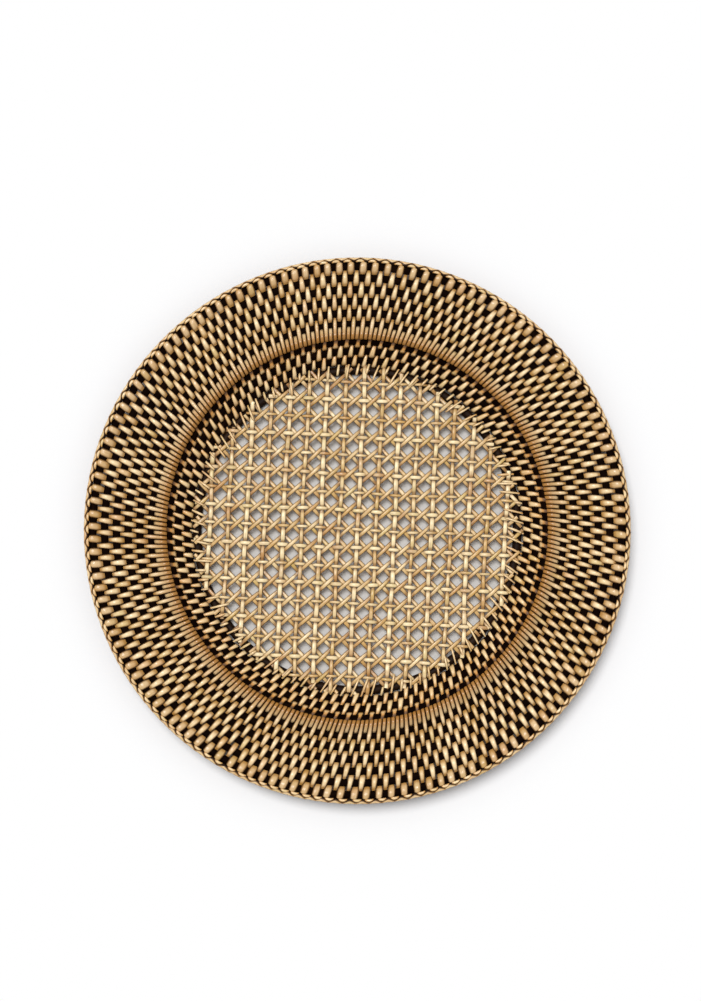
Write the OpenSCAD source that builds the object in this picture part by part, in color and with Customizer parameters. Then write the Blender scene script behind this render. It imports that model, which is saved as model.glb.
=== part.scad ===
// Round charger plate woven of split rattan.
// Dark core rings carry pale strips that pass over one ring and under the next.
// The rim hangs on a raised bead, the wall slopes down to a base ring, and an
// open cane net spans the middle.  Millimetres, +Z up, origin on the table.

/* [Plate] */
// Width over the border
plate_d = 330; // [300:1:360]
// Width of the rim, from the bead's centre to the border
rim_w = 47; // [43:0.5:52]
// Width of the wall in plan, from the base ring's centre to the bead's
wall_w = 20; // [18:0.5:23]
// Height of the bead's centre above the table
bead_z = 17.7; // [16:0.1:21]

/* [Core rings] */
// Share of the rings' spacing that a flattened core ring takes up
core_share = 0.6; // [0.54:0.01:0.62]
// Height of the edge left between a core ring's two crowned faces
core_edge = 0.25; // [0.2:0.05:0.4]
// Thickness of the round rod inside the bead
bead_rod = 3.4; // [2.8:0.1:3.8]
// Thickness of the round rod under the border
edge_rod = 2.4; // [2:0.1:2.8]
// Thickness of the base rod before its underside is planed flat
base_rod = 5.4; // [5:0.1:6]
// Width of the flat planed under the base rod
foot_w = 4.5; // [3.5:0.1:4.8]

/* [Strips] */
// Thickness of a strip on its crests
strip_t = 0.65; // [0.5:0.05:0.75]
// Share of the rings' spacing that a strip lies level over a ring
crest_share = 0.23; // [0.16:0.01:0.26]
// Share of the tightest ring's girth that the strips cover
cover = 0.94; // [0.8:0.01:0.96]
// Play between a strip and what it rests on
play = 0.05; // [0.03:0.01:0.08]

/* [Rim] */
// Pairs of strips round the rim
rim_pairs = 138; // [126:1:144]
// Lean of the rim strips from the radius where they leave the bead, degrees
rim_lean = 12; // [0:1:14]
// Climb of the rim from bead to border, degrees
rim_rise = 3; // [0:0.5:6]
// How far the bead stands above the first rim ring
bead_lift = 1.5; // [1:0.1:2]
// Room for a strip between the bead's wrapping and the first rim ring
dive_gap = 1.2; // [1:0.1:1.6]

/* [Wall] */
// Pairs of strips round the wall
wall_pairs = 103; // [94:1:108]
// Lean of the wall strips from the radius at their foot, degrees
wall_lean = 22; // [8:1:24]

/* [Border] */
// Length of a folded strip end
fold_len = 6.6; // [5.5:0.1:6.8]
// Width of a folded strip end
fold_w = 1.8; // [1.4:0.1:2]
// Slant of a folded end along the border, degrees
fold_slant = 8; // [0:1:10]

/* [Cane] */
// Spacing of the upright and level strands
cane_pitch = 11.26; // [10.8:0.02:12.6]
// Turn of the net in the plate, degrees
cane_turn = -3; // [-45:1:45]
// Thickness of a strand
strand_t = 0.6; // [0.5:0.05:0.7]
// Width of an upright strand
upright_w = 2.4; // [2:0.1:2.6]
// Width of a level strand
level_w = 1.6; // [1.4:0.1:1.8]
// Width of a slanting strand
slant_w = 1.8; // [1.4:0.1:2]

/* [Hidden] */
$fn = 128;

rim_rings = 6;
wall_rings = 3;
crown_end = 54;                 // turn from a crowned face's top to its end
crown_facets = 4;               // flats that make up a crowned face
wrap_step = 65;                 // turn between the bends of a strip round the bead
wrap_from = 80;                 // where that wrapping starts on top of the bead
inner_fold_angle = 115;         // where the two rows of folds lie on the edge rod
outer_fold_angle = 30;
core_dark = "#2a1a0e";
rod_brown = "#4a2e16";
strip_pale = "#d9b377";
strip_honey = "#c99d5d";
cane_straw = "#dfc08c";

bead_r = plate_d / 2 - rim_w;
base_r = bead_r - wall_w;
base_z = sqrt(pow(base_rod, 2) - pow(foot_w, 2)) / 2;

// A strip's width follows from the tightest ring that its set has to share, where
// it leans most.  Across its width a leaning strip meets a ring askew.
rim_strip_w = cover * PI * (bead_r - bead_rod / 2) / rim_pairs * cos(rim_lean);
rim_skew = rim_strip_w / 2 * tan(rim_lean);

// A ring takes up a share of the spacing, with a crowned face above and below.
function core_w(pitch) = core_share * pitch;
function crown_r(pitch) = core_w(pitch) / 2 / sin(crown_end);
function crest(pitch) = crest_share * pitch;

// Between two rings a strip runs straight and just touches the crowned faces of
// both.  That gives its steepness, and so how far its inner bend stands from a
// ring's centre.
function steep(pitch, skew) =
  let (
    r = crown_r(pitch),
    reach = (pitch - crest(pitch) / 2) / 2 - skew,
    rest = r * cos(crown_end) - strip_t / 2 - play - core_edge / 2,
    lift = r * r - rest * rest
  )
    lift / (reach * rest + sqrt(pow(reach * rest, 2) + (reach * reach - r * r) * lift));
function hug(pitch, skew) = (steep(pitch, skew) * (pitch - crest(pitch) / 2) - strip_t) / 2;

// Bead: a strip bends round its rod in straight facets that just clear it.
wrap_in = (bead_rod / 2 + play + rim_skew) / cos(wrap_step / 2);
wrap_out = wrap_in + strip_t;

// Edge rod, then the rim rings between it and the bead.
fold_lift = edge_rod / 2 + play;
edge_r = plate_d / 2 - (fold_lift + strip_t) * cos(outer_fold_angle)
       - fold_w / 2 * sin(outer_fold_angle);
rim_from = bead_r + wrap_out + dive_gap;
rim_to = edge_r - edge_rod / 2 - 2 * play;
rim_pitch = (rim_to - rim_from) / (rim_rings - 1 + core_share);
rim_first_r = rim_from + core_w(rim_pitch) / 2;
rim_first_z = bead_z - bead_lift;
function rim_r(i) = rim_first_r + i * rim_pitch;
function rim_z(i) = rim_first_z + i * rim_pitch * tan(rim_rise);
edge_z = rim_z(rim_rings - 1);

// Wall rings stand in a row from the base rod to the bead.
wall_foot = [base_r, base_z];
wall_line = [bead_r, bead_z] - wall_foot;
wall_slope = atan2(wall_line[1], wall_line[0]);
wall_strip_w = cover * PI * base_r / wall_pairs * cos(wall_lean);
wall_skew = wall_strip_w / 2 * tan(wall_lean) * cos(wall_slope);
wall_pitch = (norm(wall_line) - wrap_out - play) / (wall_rings + core_share / 2);
function wall_at(i) = wall_foot + unit(wall_line) * wall_pitch * i;

// A strip is drawn in the upright plane that it lies in: x runs outwards along
// the strip, y is height.  The plane passes the plate's axis at a distance.
rim_miss = bead_r * sin(rim_lean);
wall_miss = base_r * sin(wall_lean);
function along(r, miss) = sqrt(r * r - miss * miss);
function reversed(list) = [for (i = [len(list) - 1 : -1 : 0]) list[i]];
function unit(v) = v / norm(v);

// Upper and lower side of a strip where it crosses a ring centred at p: one bend
// near the ring and a level crest of the given length beyond it.  u points along
// the row of rings and n stands square to it.
function bend(p, n, near) = [p + n * near];
function level(p, u, n, far, length) = [p + n * far - u * length / 2, p + n * far + u * length / 2];
function upper(p, u, n, near, length, over) =
  over ? level(p, u, n, near + strip_t, length) : bend(p, -n, near);
function lower(p, u, n, near, length, over) =
  over ? bend(p, n, near) : level(p, u, -n, near + strip_t, length);

// Ring centres in a strip's plane, from the inner end outwards.
rim_row = [for (i = [0 : rim_rings - 1]) [along(rim_r(i), rim_miss), rim_z(i)]];
wall_row = [for (i = [0 : wall_rings]) [along(wall_at(i)[0], wall_miss), wall_at(i)[1]]];

function on_bead(angle, reach) =
  [along(bead_r, rim_miss), bead_z] + reach * [cos(angle), sin(angle)];

// Core ring: each of its crowned faces is made of a few flats.
module core_ring(at, tilt, pitch)
  let (
    r = crown_r(pitch),
    crown = [for (i = [0 : crown_facets])
             let (a = crown_end * (1 - 2 * i / crown_facets))
             [r * sin(a), core_edge / 2 + r * (cos(a) - cos(crown_end))]]
  )
    color(core_dark)
      rotate_extrude()
        translate(at) rotate(tilt) polygon(concat(crown, [for (p = crown) -p]));

module round_ring(r, z, rod, tint)
  color(tint)
    rotate_extrude()
      translate([r, z]) circle(d = rod);

module base_ring()
  color(rod_brown)
    rotate_extrude()
      intersection() {
        translate([base_r, base_z]) circle(d = base_rod);
        translate([base_r - base_rod, 0]) square([2 * base_rod, 2 * base_rod]);
      }

module wall_ring(i) core_ring(wall_at(i), wall_slope, wall_pitch);
module rim_ring(i) core_ring([rim_r(i), rim_z(i)], rim_rise, rim_pitch);
module bead_ring() round_ring(bead_r, bead_z, bead_rod, rod_brown);
module edge_ring() round_ring(edge_r, edge_z, edge_rod, core_dark);

// Stands a strip's side view up in its plane, once for every pair, and rolls it
// about the line from foot to head so that it lies flat on a sloping wall.
module strip_set(pairs, shift, miss, width, foot, head)
  let (
    run_up = atan2(head[1] - foot[1], head[0] - foot[0]),
    roll = asin(sin(run_up) * miss / norm([(foot[0] + head[0]) / 2, miss])),
    pivot = [foot[0], 0, foot[1]]
  )
    for (k = [0 : pairs - 1])
      rotate((k + shift) * 360 / pairs)
        translate(pivot + [0, miss, 0])
          rotate(a = roll, v = [cos(run_up), 0, sin(run_up)])
            translate(-pivot)
              rotate([90, 0, 0])
                linear_extrude(height = width, center = true) children();

// Rim strip: wraps the bead, then alternates over and under the rim rings.  The
// set that starts under the first ring comes round the bead from below.
module rim_strip(start_over)
  let (
    at = rim_row,
    u = unit(at[rim_rings - 1] - at[0]),
    n = [-u[1], u[0]],
    bends = start_over ? [2, 1, 0] : [0, 1, 2, 3],
    up_reach = start_over ? wrap_out : wrap_in,
    low_reach = start_over ? wrap_in : wrap_out,
    near = hug(rim_pitch, rim_skew),
    length = crest(rim_pitch),
    over = [for (i = [0 : rim_rings - 1]) (i % 2 == 0) == start_over],
    top = [for (i = [0 : rim_rings - 1]) each upper(at[i], u, n, near, length, over[i])],
    bottom = [for (i = [0 : rim_rings - 1]) each lower(at[i], u, n, near, length, over[i])],
    bead_top = [for (b = bends) on_bead(wrap_from + b * wrap_step, up_reach)],
    bead_bottom = [for (b = bends) on_bead(wrap_from + b * wrap_step, low_reach)]
  )
    polygon(concat(bead_top, top, reversed(concat(bead_bottom, bottom))));

// Wall strip: starts against the base rod and alternates up the wall rings.
module wall_strip(start_over)
  let (
    at = wall_row,
    u = unit(at[wall_rings] - at[0]),
    n = [-u[1], u[0]],
    near = hug(wall_pitch, wall_skew),
    length = crest(wall_pitch),
    over = [for (i = [0 : wall_rings]) (i % 2 == 1) == start_over],
    butt = at[0] + u * (base_rod / 2 / cos(wall_lean) + play + wall_skew),
    top = [for (i = [1 : wall_rings]) each upper(at[i], u, n, near, length, over[i])],
    bottom = [for (i = [1 : wall_rings]) each lower(at[i], u, n, near, length, over[i])]
  )
    polygon(concat([butt + n * strip_t / 2], top, reversed(concat([butt - n * strip_t / 2], bottom))));

module rim_strips(start_over)
  color(strip_pale)
    strip_set(rim_pairs, start_over ? 0 : 0.5, rim_miss, rim_strip_w, rim_row[0], rim_row[rim_rings - 1])
      rim_strip(start_over);

module wall_strips(start_over)
  color(strip_honey)
    strip_set(wall_pairs, start_over ? 0 : 0.5, wall_miss, wall_strip_w, wall_row[0], wall_row[wall_rings])
      wall_strip(start_over);

// Border: strip ends folded over the edge rod, seen as two rows of pointed lobes.
module fold()
  let (bow = (pow(fold_len, 2) + pow(fold_w, 2)) / (4 * fold_w))
    linear_extrude(height = strip_t)
      rotate(fold_slant)
        intersection() {
          translate([bow - fold_w / 2, 0]) circle(r = bow);
          translate([fold_w / 2 - bow, 0]) circle(r = bow);
        }

module fold_row(angle, shift)
  color(strip_pale)
    for (k = [0 : rim_pairs - 1])
      rotate((k + shift) * 360 / rim_pairs)
        translate([edge_r, 0, edge_z])
          rotate([0, 90 - angle, 0])
            translate([0, 0, fold_lift]) fold();

module border_inner() fold_row(inner_fold_angle, 0.25);
module border_outer() fold_row(outer_fold_angle, 0.75);

// Cane net: slanting strands lie straight in two layers over the level ones, and
// the upright strands rise over the slants and dip under the levels.
cane_r = base_r + 1.2;
layer = strand_t + play;
slant_level = layer / 2;
level_level = -1.5 * layer;
rise_level = 1.5 * layer;
dip_level = -2.5 * layer;
dip_half = level_w / 2 + play;
rise_half = slant_w / 2 * sqrt(2) + upright_w / 2 + play;
cane_z = base_z + base_rod / 2 + play + strand_t / 2 - dip_level;
strand_reach = floor((cane_r - upright_w) / cane_pitch);
slant_reach = floor((cane_r - slant_w) * sqrt(2) / cane_pitch - 0.5);
function half_length(offset, width) = sqrt(pow(cane_r, 2) - pow(abs(offset) + width / 2, 2));

module straight_strand(offset, width, z)
  let (half = half_length(offset, width))
    translate([-half, offset - width / 2, z - strand_t / 2])
      cube([2 * half, width, strand_t]);

// Height of an upright strand at y, between a dip at each level strand and a
// rise at each pair of slants.
function lift(y) =
  let (
    folded = abs(y - cane_pitch * round(y / cane_pitch)),
    share = (folded - dip_half) / (cane_pitch / 2 - rise_half - dip_half)
  )
    dip_level + (rise_level - dip_level) * max(0, min(1, share));

module upright_strand(offset)
  let (
    half = half_length(offset, upright_w),
    rise_at = cane_pitch / 2 - rise_half,
    bends = [for (j = [-strand_reach - 1 : strand_reach + 1], d = [-rise_at, -dip_half, dip_half, rise_at])
             if (abs(j * cane_pitch + d) < half - play) j * cane_pitch + d],
    marks = concat([-half], bends, [half]),
    top = [for (y = marks) [y, lift(y) + strand_t / 2]],
    bottom = [for (y = marks) [y, lift(y) - strand_t / 2]]
  )
    translate([offset - upright_w / 2, 0, 0])
      rotate([90, 0, 90])
        linear_extrude(height = upright_w) polygon(concat(top, reversed(bottom)));

module in_net()
  color(cane_straw)
    translate([0, 0, cane_z]) rotate(cane_turn) children();

module cane_upright()
  in_net()
    for (i = [-strand_reach : strand_reach]) upright_strand(i * cane_pitch);

module cane_level()
  in_net()
    for (i = [-strand_reach : strand_reach]) straight_strand(i * cane_pitch, level_w, level_level);

module slants(turn, z)
  in_net()
    rotate(turn)
      for (i = [-slant_reach - 1 : slant_reach])
        straight_strand((i + 0.5) * cane_pitch / sqrt(2), slant_w, z);

module cane_rising() slants(45, slant_level);
module cane_falling() slants(-45, -slant_level);

base_ring();
wall_ring(1);  // wall_ring_1
wall_ring(2);  // wall_ring_2
wall_ring(3);  // wall_ring_3
bead_ring();
rim_ring(0);  // rim_ring_1
rim_ring(1);  // rim_ring_2
rim_ring(2);  // rim_ring_3
rim_ring(3);  // rim_ring_4
rim_ring(4);  // rim_ring_5
rim_ring(5);  // rim_ring_6
edge_ring();
wall_strips(true);  // wall_strips_a
wall_strips(false);  // wall_strips_b
rim_strips(true);  // rim_strips_a
rim_strips(false);  // rim_strips_b
border_inner();
border_outer();
cane_upright();
cane_level();
cane_rising();
cane_falling();
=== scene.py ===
# %% [markdown]
# A woven rattan charger plate. The solids come packed from the CAD step as a fixed
# frame. This file dresses them: it weaves round-edged strips where the solids have
# plain ones, folds the border, interlaces the cane net and gives each surface its finish.
# Lengths are in metres. The plate stands on the origin, and z is up along its axis.

# %% The frame
import math
from collections import namedtuple

import bpy
import numpy as np
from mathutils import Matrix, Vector


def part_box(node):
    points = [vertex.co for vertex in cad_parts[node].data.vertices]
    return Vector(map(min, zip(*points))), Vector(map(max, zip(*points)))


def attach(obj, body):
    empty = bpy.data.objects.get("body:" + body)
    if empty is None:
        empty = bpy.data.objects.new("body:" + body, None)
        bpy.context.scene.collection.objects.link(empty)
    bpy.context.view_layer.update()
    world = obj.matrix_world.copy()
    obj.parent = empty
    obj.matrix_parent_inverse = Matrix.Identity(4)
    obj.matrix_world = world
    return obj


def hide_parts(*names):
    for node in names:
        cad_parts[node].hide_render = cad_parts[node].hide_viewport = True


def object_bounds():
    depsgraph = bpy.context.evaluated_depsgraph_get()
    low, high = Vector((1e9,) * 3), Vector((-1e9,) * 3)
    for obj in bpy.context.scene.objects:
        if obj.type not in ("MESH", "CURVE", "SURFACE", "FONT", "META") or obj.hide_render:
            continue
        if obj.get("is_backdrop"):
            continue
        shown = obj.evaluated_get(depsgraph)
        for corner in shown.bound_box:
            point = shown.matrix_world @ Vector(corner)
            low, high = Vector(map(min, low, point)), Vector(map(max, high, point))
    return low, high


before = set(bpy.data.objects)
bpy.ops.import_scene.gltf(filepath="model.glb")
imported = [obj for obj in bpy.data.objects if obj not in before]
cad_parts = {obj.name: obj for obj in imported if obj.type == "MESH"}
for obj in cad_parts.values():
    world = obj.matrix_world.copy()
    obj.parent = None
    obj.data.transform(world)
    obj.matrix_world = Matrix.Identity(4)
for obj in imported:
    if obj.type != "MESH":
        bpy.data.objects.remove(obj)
cad_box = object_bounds()


def in_mm(lengths):
    """Lengths in millimetres, for printing."""
    return [round(1000 * float(length), 1) for length in lengths]


print("CAD box in mm:", in_mm(high - low for low, high in zip(*cad_box)))

# %% [markdown]
# Every strip is woven on the core rings, so the rings give all the places. A ring's
# solid is measured once: its middle radius and height, and its width and depth.
# Reading them from the frame keeps the dressing in step with the solids.

# %% Where the rings lie
Seat = namedtuple("Seat", "radius height width depth")


def seat(node):
    """Where a ring of the frame lies and how large its section is."""
    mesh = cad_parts[node].data
    flat = np.zeros(3 * len(mesh.vertices))
    mesh.vertices.foreach_get("co", flat)
    points = flat.reshape(-1, 3)
    radius = np.hypot(points[:, 0], points[:, 1])
    low, high = points[:, 2].min(), points[:, 2].max()
    middle = (radius.min() + radius.max()) / 2
    return Seat(middle, (low + high) / 2, radius.max() - radius.min(), high - low)


def slope(seats):
    """Angle of the line from the first of some rings to the last."""
    rise = seats[-1].height - seats[0].height
    return math.atan2(rise, seats[-1].radius - seats[0].radius)


rim_seats = [seat(f"rim_ring_{i}") for i in range(1, 7)]
wall_seats = [seat(f"wall_ring_{i}") for i in range(1, 4)]
bead_seat, edge_seat, base_seat = seat("bead_ring"), seat("edge_ring"), seat("base_ring")
rim_pitch = (rim_seats[-1].radius - rim_seats[0].radius) / (len(rim_seats) - 1)
rim_slope, wall_slope = slope(rim_seats), slope(wall_seats)
print("rim rings at mm:", in_mm(s.radius for s in rim_seats))
print("wall rings at mm:", in_mm(s.radius for s in wall_seats))

# %% [markdown]
# Node trees make both the geometry and the finishes here. Written out node by node
# they are hard to read, so a wire stands for one socket and can be added, subtracted,
# multiplied and divided in plain Python. Each such step adds one Math node to the tree.


# %% Wires and benches
def pick(sockets, key):
    """A socket by place, by the name it shows, or by identifier."""
    if isinstance(key, int):
        return sockets[key]
    exact = [s for s in sockets if s.identifier == key]
    named = [s for s in sockets if s.name == key and s.enabled]
    return (named or exact)[0]


class Wire:
    """One output socket. Arithmetic on wires adds Math nodes to their tree."""

    def __init__(self, bench, socket):
        self.bench, self.socket = bench, socket

    def of(self, name):
        """Another output of the same node."""
        return Wire(self.bench, pick(self.socket.node.outputs, name))

    def math(self, operation, *others):
        return self.bench.math(operation, self, *others)

    def __add__(self, other):
        return self.math("ADD", other)

    def __sub__(self, other):
        return self.math("SUBTRACT", other)

    def __rsub__(self, other):
        return self.bench.math("SUBTRACT", other, self)

    def __mul__(self, other):
        return self.math("MULTIPLY", other)

    def __truediv__(self, other):
        return self.math("DIVIDE", other)

    __radd__ = __add__
    __rmul__ = __mul__


class Bench:
    """A node tree to work on."""

    def __init__(self, tree):
        self.tree = tree

    def node(self, kind, sockets=None, **settings):
        """Adds a node, sets it, feeds its sockets and gives its first output, if it has one."""
        made = self.tree.nodes.new(kind)
        for name, value in settings.items():
            setattr(made, name, value)
        for key, value in (sockets or {}).items():
            socket = pick(made.inputs, key)
            if isinstance(value, Wire):
                self.tree.links.new(value.socket, socket)
            else:
                socket.default_value = value
        shown = [s for s in made.outputs if s.enabled]
        return Wire(self, shown[0]) if shown else made

    def math(self, operation, *values):
        return self.node("ShaderNodeMath", dict(enumerate(values)), operation=operation)

    def vector(self, x=0.0, y=0.0, z=0.0):
        return self.node("ShaderNodeCombineXYZ", {"X": x, "Y": y, "Z": z})

    def split(self, vector):
        parts = self.node("ShaderNodeSeparateXYZ", {"Vector": vector})
        return parts, parts.of("Y"), parts.of("Z")

    def noise(self, vector, scale=1.0, detail=2.0, rough=0.5):
        sockets = {"Vector": vector, "Scale": scale, "Detail": detail, "Roughness": rough}
        return self.node("ShaderNodeTexNoise", sockets)


print("wires can be added, subtracted, multiplied and divided")

# %% [markdown]
# All finishes of this plate are plant fibre, so they are put together from the same few
# steps: find a place on the fibre, ease it into a share, blend two colours by that share,
# and plug colour, roughness and a fine bump into one shader.


# %% Steps of a finish
def finish(name):
    """A new material: itself, its bench and its Principled shader."""
    material = bpy.data.materials.new(name)
    material.use_nodes = True
    shader = next(n for n in material.node_tree.nodes if n.type == "BSDF_PRINCIPLED")
    return material, Bench(material.node_tree), shader


def mark(bench, name):
    return bench.node("ShaderNodeAttribute", attribute_name=name).of("Fac")


def blend(bench, share, first, second):
    """Mixes two colours. Each is a wire or three numbers."""
    ends = [c if isinstance(c, Wire) else (*c, 1) for c in (first, second)]
    sockets = {"Factor_Float": share, "A_Color": ends[0], "B_Color": ends[1]}
    return bench.node("ShaderNodeMix", sockets, data_type="RGBA").of("Result_Color")


def ease(bench, value, low, high):
    """0 at low, 1 at high and a smooth change between."""
    sockets = {"Value": value, "From Min": low, "From Max": high}
    return bench.node("ShaderNodeMapRange", sockets, interpolation_type="SMOOTHSTEP")


def plug(bench, shader, colour, roughness, gloss, height, depth):
    """Feeds a shader its colour, roughness, gloss and a bump of the given depth."""
    sockets = {"Strength": 1.0, "Distance": depth, "Height": height}
    bump = bench.node("ShaderNodeBump", sockets)
    for name, wire in (("Base Color", colour), ("Roughness", roughness), ("Normal", bump)):
        bench.tree.links.new(wire.socket, shader.inputs[name])
    shader.inputs["Specular IOR Level"].default_value = gloss


strip_gloss = 0.6
print("gloss of strips and strands:", strip_gloss)

# %% [markdown]
# Split rattan is the skin of the vine, cut into strips. It shows fine fibres along its
# length, a pale crown that is a painted highlight, and brown sides that are stain and
# painted shade. Each strip has its own tone, and here and there it turns to peach or olive.
# Where a strip turns down to dive under a ring it goes amber and then near black, which is
# painted shade, so the weave reads as light and dark. The underside is left plain. The marks
# along and across a strip come from attributes that the strip's mesh carries.

# %% The finish of split rattan
# Peach and olive are the rattan's own tones; the cream is a painted highlight, and the brown is
# stain and painted shade.
peach, olive, highlight_cream = (0.74, 0.41, 0.19), (0.66, 0.48, 0.15), (1.0, 0.82, 0.50)
stain_and_shade_brown = (0.085, 0.029, 0.003)
strip_fibre_depth = 0.00014


def split_rattan(name, pale, wheat, dive_shade_amber, honey):
    material, bench, shader = finish(name)
    along, across, tone = (mark(bench, n) for n in ("along", "across", "tone"))
    dive, warm, below = (mark(bench, n) for n in ("dive", "warm", "below"))
    aside = across.math("ABSOLUTE")
    fibre = bench.noise(bench.vector(along * 70, across * 3.4, tone * 90), detail=3.0, rough=0.6)
    cloud = bench.noise(bench.vector(along * 150, tone * 50, across * 0.3))
    light = ease(bench, tone * 0.5 + cloud * 0.9 - 0.2, 0.05, 0.85)
    colour = blend(bench, light, wheat, pale)
    # Painted highlight: a pale crown along the middle of each stitch, fading where it dives.
    crown_highlight = ease(bench, aside * 0.6 + dive * 1.2, 0.6, 0.1)
    colour = blend(bench, crown_highlight * 0.45, colour, highlight_cream)
    hue = bench.noise(bench.vector(along * 60, tone * 170, 7.0), detail=1.0)
    colour = blend(bench, ease(bench, hue, 0.55, 0.75) * 0.5, colour, peach)
    colour = blend(bench, ease(bench, hue, 0.45, 0.25) * 0.5, colour, olive)
    # Painted shade: amber where a stitch turns down towards a dive.
    colour = blend(bench, ease(bench, dive + cloud * 0.2, 0.25, 0.8) * 0.8, colour, dive_shade_amber)
    colour = blend(bench, warm, colour, honey)
    streak = ease(bench, fibre, 0.45, 0.75)
    colour = blend(bench, streak * 0.4, colour, honey)
    # Brown sides: stain and painted shade between neighbouring strips.
    side = ease(bench, aside + fibre * 0.12, 0.52, 0.98)
    # Painted shade: near black where a strip runs under a ring, but not on its underside.
    deep = ease(bench, dive, 0.76, 1.0) * (1.0 - below)
    colour = blend(bench, (side * 0.92).math("MAXIMUM", deep * 0.97), colour, stain_and_shade_brown)
    colour = blend(bench, below * 0.7, colour, wheat)
    roughness = 0.26 + streak * 0.16 + deep * 0.3 + below * 0.3
    plug(bench, shader, colour, roughness, strip_gloss, fibre, strip_fibre_depth)
    return material


rim_finish = split_rattan(
    "rim_rattan",
    pale=(0.95, 0.71, 0.405),
    wheat=(0.64, 0.365, 0.115),
    dive_shade_amber=(0.55, 0.265, 0.06),
    honey=(0.40, 0.16, 0.014),
)
wall_finish = split_rattan(
    "wall_rattan",
    pale=(1.0, 0.75, 0.40),
    wheat=(0.78, 0.41, 0.11),
    dive_shade_amber=(0.68, 0.30, 0.055),
    honey=(0.44, 0.165, 0.02),
)
border_finish = split_rattan(
    "border_rattan",
    pale=(0.98, 0.72, 0.37),
    wheat=(0.70, 0.40, 0.13),
    dive_shade_amber=(0.60, 0.29, 0.06),
    honey=(0.44, 0.18, 0.03),
)
print("rattan finishes:", rim_finish.name, wall_finish.name, border_finish.name)

# %% [markdown]
# The core rings are dyed almost black before weaving. The rods inside the bead, under
# the border and in the foot are stained brown. All are whole vine, so their fibres run
# round the plate. Polar places worked out from Object coordinates let the grain follow
# each ring.

# %% The finish of the dyed rings and rods
fine_fibre_depth = 0.0001
grain_round, grain_through = 16, 1900


def dyed_core(name, deep, worn, gloss, rough):
    material, bench, shader = finish(name)
    x, y, z = bench.split(bench.node("ShaderNodeTexCoord").of("Object"))
    radius = (x * x + y * y).math("SQRT")
    turn = y.math("ARCTAN2", x)
    grain = bench.vector(turn * grain_round, radius * grain_through, z * grain_through)
    fibre = bench.noise(grain, detail=3.0, rough=0.6)
    patch = bench.noise(bench.vector(x, y, z), scale=55.0, detail=3.0)
    share = ease(bench, fibre, 0.48, 0.75) * 0.6 + ease(bench, patch, 0.5, 0.75) * 0.4
    colour = blend(bench, share, deep, worn)
    plug(bench, shader, colour, rough + fibre * 0.15, gloss, fibre, fine_fibre_depth)
    return material


core_finish = dyed_core(
    "dyed_core",
    deep=(0.0032, 0.0008, 0.0002),
    worn=(0.012, 0.004, 0.001),
    gloss=0.025,
    rough=0.65,
)
rod_finish = dyed_core(
    "stained_rod",
    deep=(0.012, 0.004, 0.001),
    worn=(0.04, 0.016, 0.0045),
    gloss=0.12,
    rough=0.5,
)
print("core finishes:", core_finish.name, rod_finish.name)

# %% [markdown]
# Cane is the same skin cut finer and left undyed, a straw colour with a soft sheen.
# Its strands carry marks along and across, and a tone for each strand. Rust, green and
# knots come in patches along a strand, and it darkens where it dives under another.

# %% The finish of the cane
rust, green, shade = (0.50, 0.23, 0.065), (0.60, 0.43, 0.12), (0.30, 0.13, 0.03)


def straw_cane(name, pale, straw, stain_and_side_shade):
    material, bench, shader = finish(name)
    along, across, tone, dive = (mark(bench, n) for n in ("along", "across", "tone", "dive"))

    def patches(length, spread, layer, low, high):
        """Patches along a strand, placed anew for each tone."""
        field = bench.noise(bench.vector(along * length, tone * spread, layer))
        return ease(bench, field, low, high)

    fibre = bench.noise(bench.vector(along * 60, across * 3.0, tone * 80), detail=3.0, rough=0.6)
    cloud = bench.noise(bench.vector(along * 75, tone * 60, 0.0), detail=3.0)
    light = ease(bench, tone * 0.55 + cloud * 1.2 - 0.4, 0.1, 0.8)
    colour = blend(bench, light, straw, pale)
    colour = blend(bench, patches(55, 90, 9.0, 0.52, 0.72) * 0.75, colour, rust)
    colour = blend(bench, patches(45, 130, 17.0, 0.52, 0.72) * 0.55, colour, green)
    colour = blend(bench, ease(bench, dive, 0.3, 0.8) * 0.75, colour, shade)
    streak = ease(bench, fibre, 0.45, 0.75)
    # Sides: painted shade between strands, mixed with the darker grain streaks and knots.
    side = ease(bench, across.math("ABSOLUTE") + fibre * 0.15, 0.62, 1.0)
    knot = patches(38, 70, 3.0, 0.66, 0.76)
    grain_knot_and_side_shade = (side * 0.85).math("MAXIMUM", streak * 0.36).math("MAXIMUM", knot * 0.45)
    colour = blend(bench, grain_knot_and_side_shade, colour, stain_and_side_shade)
    plug(bench, shader, colour, 0.3 + streak * 0.2, strip_gloss, fibre, fine_fibre_depth)
    return material


cane_finish = straw_cane(
    "straw_cane",
    pale=(1.0, 0.80, 0.47),
    straw=(0.64, 0.375, 0.115),
    stain_and_side_shade=(0.065, 0.022, 0.003),
)
print("cane finish:", cane_finish.name)

# %% [markdown]
# The shapes come from Geometry Nodes trees. A tree starts with named inputs, so that one
# tree can make many pieces, and it ends by making its copies real and giving them their
# finish. The result is kept as a plain mesh, and the modifier that made it is removed.


# %% Start, end and use of a tree
def new_tree(name, inputs):
    """An empty geometry tree with named inputs: its bench, its input wires, its output node."""
    tree = bpy.data.node_groups.new(name, "GeometryNodeTree")
    tree.interface.new_socket("Geometry", in_out="OUTPUT", socket_type="NodeSocketGeometry")
    tree.interface.new_socket("Geometry", in_out="INPUT", socket_type="NodeSocketGeometry")
    for label, kind in inputs.items():
        tree.interface.new_socket(label, in_out="INPUT", socket_type="NodeSocket" + kind)
    bench = Bench(tree)
    entry = tree.nodes.new("NodeGroupInput")
    given = {s.name: Wire(bench, s) for s in entry.outputs if s.name}
    return bench, given, tree.nodes.new("NodeGroupOutput")


def floats(*labels):
    return {label: "Float" for label in labels}


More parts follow.
